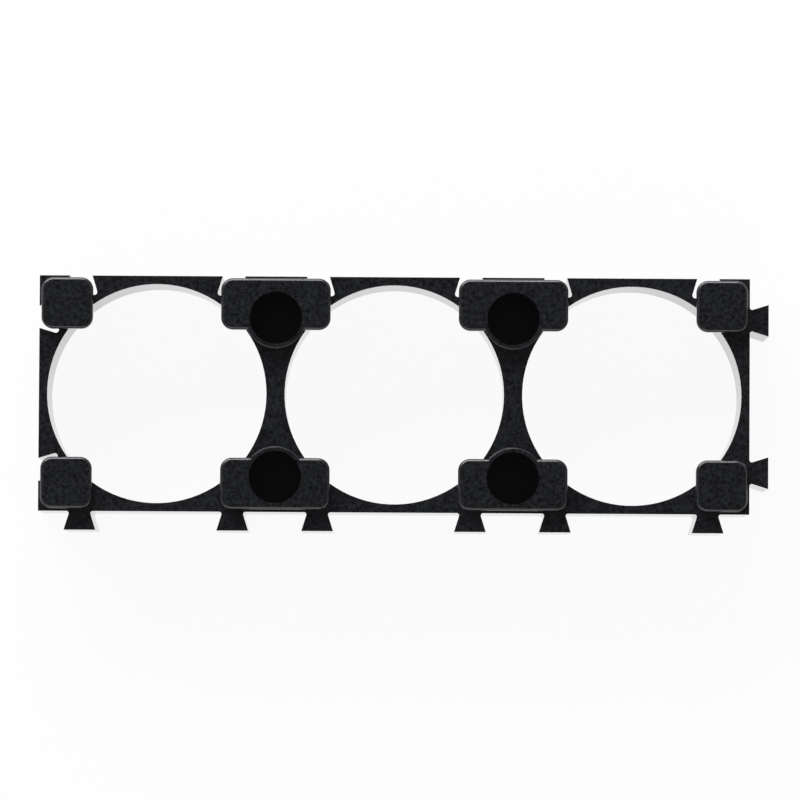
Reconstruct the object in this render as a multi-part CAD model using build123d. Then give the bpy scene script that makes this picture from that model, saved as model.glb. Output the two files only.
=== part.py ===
"""Battery cell holder bracket: one moulded plate that holds three round cells in a row.

The bracket lies on its back face. X runs along the row of cells, Z is the cells' axis, and the
origin is on the middle cell's axis, on the back face, where the cells go in. Rows and columns of
brackets slide together: dovetails stand out of the -Y and +X sides, and slots of the same form
are cut into the +Y and -X sides. All sizes are in millimetres.
"""
from build123d import *
import os
from math import sqrt

# ---- the cells and their bores -------------------------------------------------------------
cell_count = 3
cell_diameter = 18.4        # largest diameter of a wrapped 18650 cell
cell_clearance = 0.25       # bore minus cell, on the diameter
web = 1.55                  # plastic between two bores, on the line of their axes
bore_lead_in = 0.35         # 45 degree chamfer where the cells go in

# ---- the plate -----------------------------------------------------------------------------
body_thickness = 8.0
module_gap = 0.15           # space between the plates of two joined brackets

# ---- the raised pads that stop the cells ---------------------------------------------------
pad_height = 1.0
pad_inset = 0.2             # from the side of the plate to the side of a pad
pad_corner = 1.0            # corner radius in plan
pad_edge_round = 0.3        # round along the top edge
stop_overhang = 1.21        # reach of a pad over the bore, on the diagonal

# ---- the blind pilot holes in the middle pads ----------------------------------------------
pilot_diameter = 4.45
pilot_wall = 0.61           # plastic between a pilot hole and a bore, before the shift
pilot_shift = 0.3           # every pilot hole sits this far towards the -Y side
pilot_floor = 2.0           # plastic left under a pilot hole
boss_wall = 0.4             # ring around the hole, at the height of the pads
boss_bevel = 0.12

# ---- the dovetails and their slots ---------------------------------------------------------
dovetail_neck = 1.7
dovetail_tip = 2.7
dovetail_length = 1.6
dovetail_root_round = 0.2
slot_clearance = 0.1        # on each flank if the plates met; module_gap leaves 0.04 to 0.05 of it
slot_end_gap = 0.05         # beyond the tip of a dovetail, and module_gap comes on top
slot_corner_round = 0.25    # under 0.01 from the sharp tip of a mated dovetail
slot_wall = 0.45            # thinnest plastic between a slot and a bore

# ---- worked out from the above -------------------------------------------------------------
bore_radius = (cell_diameter + cell_clearance) / 2
pitch = 2 * bore_radius + web
half_length = (cell_count * pitch - module_gap) / 2
half_width = (pitch - module_gap) / 2
top = body_thickness + pad_height

pad_inner = (bore_radius - stop_overhang + pad_corner) / sqrt(2) - pad_corner
pad_outer = half_width - pad_inset
pad_side = pad_outer - pad_inner

pilot_radius = pilot_diameter / 2
pilot_reach = sqrt((bore_radius + pilot_wall + pilot_radius) ** 2 - (pitch / 2) ** 2)

slot_mouth = dovetail_neck + 2 * slot_clearance
slot_width = dovetail_tip + 2 * slot_clearance
slot_depth = dovetail_length + slot_end_gap
slot_reach = sqrt((bore_radius + slot_wall) ** 2 - (half_width - slot_depth) ** 2)
dovetail_offset = slot_reach + slot_width / 2

cell_xs = [(i - (cell_count - 1) / 2) * pitch for i in range(cell_count)]
web_xs = [x + pitch / 2 for x in cell_xs[:-1]]
long_side_xs = [x + side * dovetail_offset for x in cell_xs for side in (-1, 1)]
short_side_ys = [-dovetail_offset, dovetail_offset]
pilot_centres = [(x, side * pilot_reach - pilot_shift) for x in web_xs for side in (-1, 1)]


def places(edge_x, edge_y):
    """Where the dovetails leave one long and one short side, each pointing away along -Y."""
    along_long_side = [Pos(x, edge_y) for x in long_side_xs]
    along_short_side = [Pos(edge_x, y) * Rot(0, 0, 90) for y in short_side_ys]
    return along_long_side + along_short_side


def wedge(root, tip, length):
    """Plan of a dovetail from its root on the X axis to its wider tip at -Y."""
    return Polygon((-root / 2, 0), (-tip / 2, -length), (tip / 2, -length), (root / 2, 0), align=None)


def corners(sites, half_width_there, y):
    """The two corners of each wedge at a given distance from its root."""
    return [site * Pos(side * half_width_there, y) for site in sites for side in (-1, 1)]


def rounded_at(outline, points, radius):
    """The outline with the corners that lie at these points rounded."""
    found = [
        min(outline.vertices(), key=lambda v: (v.center() - point.position).length)
        for point in points
    ]
    return fillet(found, radius)


def plate_plan():
    """Plan of the plate: dovetails on two sides, slots in the other two, and no bores yet."""
    plugs = places(half_length, -half_width)
    sockets = places(-half_length, half_width)
    outline = Rectangle(2 * half_length, 2 * half_width)
    outline += [site * wedge(dovetail_neck, dovetail_tip, dovetail_length) for site in plugs]
    outline -= [site * wedge(slot_mouth, slot_width, slot_depth) for site in sockets]
    outline = rounded_at(outline, corners(plugs, dovetail_neck / 2, 0), dovetail_root_round)
    return rounded_at(outline, corners(sockets, slot_width / 2, -slot_depth), slot_corner_round)


def bore():
    """The space of one cell, with its lead-in, up to the underside of the pads."""
    barrel = extrude(Circle(bore_radius), body_thickness)
    mouth = Cone(bore_radius + bore_lead_in, bore_radius, bore_lead_in)
    return barrel + Pos(0, 0, bore_lead_in / 2) * mouth


def plate():
    solid = extrude(plate_plan(), body_thickness)
    return solid - [Pos(x, 0) * bore() for x in cell_xs]


def pad(length):
    """One raised pad with its top edge rounded, from the face of the plate up."""
    block = extrude(RectangleRounded(length, pad_side, pad_corner), pad_height)
    return fillet(block.edges().group_by(Axis.Z)[-1], pad_edge_round)


def boss():
    """The ring that closes a pilot hole where it runs out of its pad."""
    block = extrude(Circle(pilot_radius + boss_wall), pad_height)
    return chamfer(block.edges().group_by(Axis.Z)[-1], boss_bevel)


def raised_parts():
    """A pad at each corner, a long pad over each end of each web, and the bosses."""
    middle = (pad_inner + pad_outer) / 2
    corner_x = cell_xs[-1] + middle
    corner_pad = pad(pad_side)
    web_pad = pad(pitch - 2 * pad_inner)
    pieces = [Pos(x, y, body_thickness) * boss() for x, y in pilot_centres]
    for y in (-middle, middle):
        pieces += [Pos(end * corner_x, y, body_thickness) * corner_pad for end in (-1, 1)]
        pieces += [Pos(x, y, body_thickness) * web_pad for x in web_xs]
    return pieces


def pilot_hole():
    """A blind hole with a flat floor, open at the top of the pads."""
    return Pos(0, 0, pilot_floor) * extrude(Circle(pilot_radius), top - pilot_floor)


def cell_bracket():
    holes = [Pos(x, y) * pilot_hole() for x, y in pilot_centres]
    return plate() + raised_parts() - holes


os.makedirs("parts", exist_ok=True)
export_step(cell_bracket(), "parts/cell_bracket.step")
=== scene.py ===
"""Looks of the battery cell holder bracket: black moulded plastic on a white table.

The bracket lies on its back face with the pads up, and the camera looks down on it.
"""
import math
import bpy
from mathutils import Matrix, Vector

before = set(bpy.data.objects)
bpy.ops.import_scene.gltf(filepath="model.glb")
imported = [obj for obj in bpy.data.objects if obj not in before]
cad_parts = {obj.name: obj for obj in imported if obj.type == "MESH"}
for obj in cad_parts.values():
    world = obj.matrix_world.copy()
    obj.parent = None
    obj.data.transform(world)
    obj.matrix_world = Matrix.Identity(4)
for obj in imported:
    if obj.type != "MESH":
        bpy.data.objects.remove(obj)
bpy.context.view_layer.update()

MM = 0.001

# ---- the view: a long lens above the bracket, leaning a little towards its -Y side ----------
IMAGE_SIDE = 800                # rendered pixels across the square frame
SENSOR = 36.0                   # camera sensor width, in mm
VIEW_LEAN = 2.69                # degrees away from straight down
VIEW_ROLL = 0.33                # degrees, bracket turned clockwise in the frame
FACE_DISTANCE = 526 * MM        # camera to the plate's front face; follows from its 8 mm height
FACE_SCALE = 11.758             # rendered pixels for each mm on that face
FACE_HEIGHT = 8.0 * MM
AIM_RIGHT = 0.49 * MM           # what the camera looks at, from the middle cell's axis
AIM_BACK = -0.435 * MM
CLIP_NEAR, CLIP_FAR = 0.01, 10

# ---- the plastic: grained on the faces, polished on the walls that run along the draw --------
WALL_UNTIL, FACE_FROM = 0.1, 0.6        # how far a surface faces up or down, from 0 to 1
GRAIN_SCALE, GRAIN_DETAIL, GRAIN_BREAKUP = 4200, 3, 0.6
MOTTLE_SCALE, MOTTLE_DETAIL, MOTTLE_BREAKUP = 3200, 4, 0.65
DARK_BLACK = (0.0012, 0.0014, 0.0024, 1)
LIGHT_BLACK = (0.0130, 0.0140, 0.0170, 1)
WALL_ROUGHNESS = 0.05
FACE_ROUGHNESS = (0.18, 0.28)           # added to the walls' own, least and most
GRAIN_STRENGTH = 0.25
GRAIN_HEIGHT = 0.02 * MM
PLASTIC_IOR = 1.5

# ---- the table --------------------------------------------------------------------------------
TABLE_SIZE = 6
TABLE_DROP = 0.02 * MM                  # keeps the back face clear of the table top
TABLE_PAINT = (0.85, 0.85, 0.85, 1)
PLAIN_WHITE_SHARE = 0.94                # of what the camera and gloss see; the rest takes shadow

# ---- the light: a softbox is a name, a place, a width, a height and a radiance ----------------
LAMPS = (
    ("lamp_rear", (-0.15, 0.46, 0.21), 0.6, 0.25, 12.0),
    ("lamp_front", (-0.1, -0.5, 0.25), 0.5, 0.3, 2.0),
)
SKY_FADES_BETWEEN = (0.3, 0.95)         # height of a direction, where 1 is straight up
SKY_AROUND, SKY_ABOVE = 0.7, 0.10


def make_camera():
    """The camera, level with the rows of the image along X, then rolled."""
    focal_pixels = FACE_SCALE * FACE_DISTANCE / MM
    data = bpy.data.cameras.new("camera")
    data.sensor_width = SENSOR
    data.lens = SENSOR * focal_pixels / IMAGE_SIDE
    data.clip_start = CLIP_NEAR
    data.clip_end = CLIP_FAR
    camera = bpy.data.objects.new("camera", data)
    bpy.context.collection.objects.link(camera)
    lean = math.radians(VIEW_LEAN)
    aim = Vector((AIM_RIGHT, AIM_BACK, FACE_HEIGHT))
    back = Vector((0, -math.sin(lean), math.cos(lean)))
    turn = Matrix.Rotation(lean, 4, "X") @ Matrix.Rotation(math.radians(VIEW_ROLL), 4, "Z")
    camera.matrix_world = Matrix.Translation(aim + back * FACE_DISTANCE) @ turn
    bpy.context.scene.camera = camera


class Nodes:
    """A material's node tree, with short calls to add and join nodes."""

    def __init__(self, name):
        self.material = bpy.data.materials.new(name)
        self.material.use_nodes = True
        self.tree = self.material.node_tree
        self.tree.nodes.clear()

    def add(self, kind, inputs=None, **settings):
        node = self.tree.nodes.new("ShaderNode" + kind)
        for key, value in settings.items():
            setattr(node, key, value)
        for key, value in (inputs or {}).items():
            self.set(node.inputs[key], value)
        return node

    def set(self, socket, value):
        if isinstance(value, bpy.types.NodeSocket):
            self.tree.links.new(value, socket)
        else:
            socket.default_value = value

    def math(self, operation, first, second=0):
        return self.add("Math", {0: first, 1: second}, operation=operation).outputs[0]

    def map(self, value, low, high, to_low, to_high):
        """The value's stretch from low to high, spread over another stretch."""
        stretch = {0: value, 1: low, 2: high, 3: to_low, 4: to_high}
        return self.add("MapRange", stretch).outputs[0]

    def noise(self, place, scale, detail, breakup):
        inputs = {"Vector": place, "Scale": scale, "Detail": detail, "Roughness": breakup}
        return self.add("TexNoise", inputs).outputs["Fac"]

    def finish(self, shader):
        self.set(self.add("OutputMaterial").inputs["Surface"], shader.outputs[0])
        return self.material


def moulded_plastic():
    """Black ABS as it leaves the mould."""
    n = Nodes("black_moulded_plastic")
    place = n.add("TexCoord").outputs["Object"]
    facing = n.add("SeparateXYZ", {0: n.add("TexCoord").outputs["Normal"]}).outputs["Z"]
    on_faces = n.map(n.math("ABSOLUTE", facing), WALL_UNTIL, FACE_FROM, 0.0, 1.0)
    grain = n.noise(place, GRAIN_SCALE, GRAIN_DETAIL, GRAIN_BREAKUP)
    mottle = n.noise(place, MOTTLE_SCALE, MOTTLE_DETAIL, MOTTLE_BREAKUP)

    # the walls keep the colour half way between the two blacks
    off_middle = n.math("MULTIPLY", n.map(mottle, 0.36, 0.64, -0.5, 0.5), on_faces)
    colour = n.add("ValToRGB", {0: n.math("ADD", off_middle, 0.5)})
    colour.color_ramp.elements[0].color = DARK_BLACK
    colour.color_ramp.elements[1].color = LIGHT_BLACK

    added = n.math("MULTIPLY", on_faces, n.map(mottle, 0.3, 0.7, *FACE_ROUGHNESS))
    strength = n.math("MULTIPLY", on_faces, GRAIN_STRENGTH)
    bump = n.add("Bump", {"Height": grain, "Strength": strength, "Distance": GRAIN_HEIGHT})
    return n.finish(n.add("BsdfPrincipled", {
        "Base Color": colour.outputs["Color"],
        "Roughness": n.math("ADD", added, WALL_ROUGHNESS),
        "Normal": bump.outputs["Normal"],
        "IOR": PLASTIC_IOR,
    }))


def table_white():
    """A table top that is white in the frame and in gloss, and still takes a soft shadow."""
    n = Nodes("table_white")
    rays = n.add("LightPath").outputs
    seen = n.math("MAXIMUM", rays["Is Camera Ray"], rays["Is Glossy Ray"])
    seen = n.math("MAXIMUM", seen, rays["Is Transmission Ray"])
    share = n.math("MULTIPLY", seen, PLAIN_WHITE_SHARE)
    lit = n.add("BsdfDiffuse", {"Color": TABLE_PAINT})
    white = n.add("Emission", {"Color": (1, 1, 1, 1), "Strength": 1.0})
    return n.finish(n.add("MixShader", {0: share, 1: lit.outputs[0], 2: white.outputs[0]}))


def make_floor():
    bpy.ops.mesh.primitive_plane_add(size=TABLE_SIZE)
    floor = bpy.context.object
    floor.name = "floor"
    floor.location.z = -TABLE_DROP
    floor.data.materials.append(table_white())


def make_lamp(name, place, width, height, radiance):
    """A softbox, in metres, that faces the bracket; a radiance of 1 is the white of the table."""
    data = bpy.data.lights.new(name, "AREA")
    data.shape = "RECTANGLE"
    data.size = width
    data.size_y = height
    data.energy = radiance * math.pi * width * height
    lamp = bpy.data.objects.new(name, data)
    lamp.location = place
    lamp.rotation_euler = (-Vector(place)).to_track_quat("-Z", "Y").to_euler()
    bpy.context.collection.objects.link(lamp)


def make_world():
    """Plain light from all around, weaker from straight above."""
    world = bpy.data.worlds.new("studio")
    bpy.context.scene.world = world
    world.use_nodes = True
    tree = world.node_tree
    background = tree.nodes["Background"]
    coordinate = tree.nodes.new("ShaderNodeTexCoord")
    split = tree.nodes.new("ShaderNodeSeparateXYZ")
    fade = tree.nodes.new("ShaderNodeMapRange")
    tree.links.new(coordinate.outputs["Generated"], split.inputs[0])
    tree.links.new(split.outputs["Z"], fade.inputs[0])
    for socket, value in enumerate((*SKY_FADES_BETWEEN, SKY_AROUND, SKY_ABOVE), start=1):
        fade.inputs[socket].default_value = value
    tree.links.new(fade.outputs[0], background.inputs["Strength"])
    background.inputs["Color"].default_value = (1, 1, 1, 1)


plastic = moulded_plastic()
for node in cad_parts.values():
    for slot in node.material_slots:
        slot.material = plastic

make_floor()
for lamp in LAMPS:
    make_lamp(*lamp)
make_world()
make_camera()
bpy.context.scene.view_settings.view_transform = "Standard"
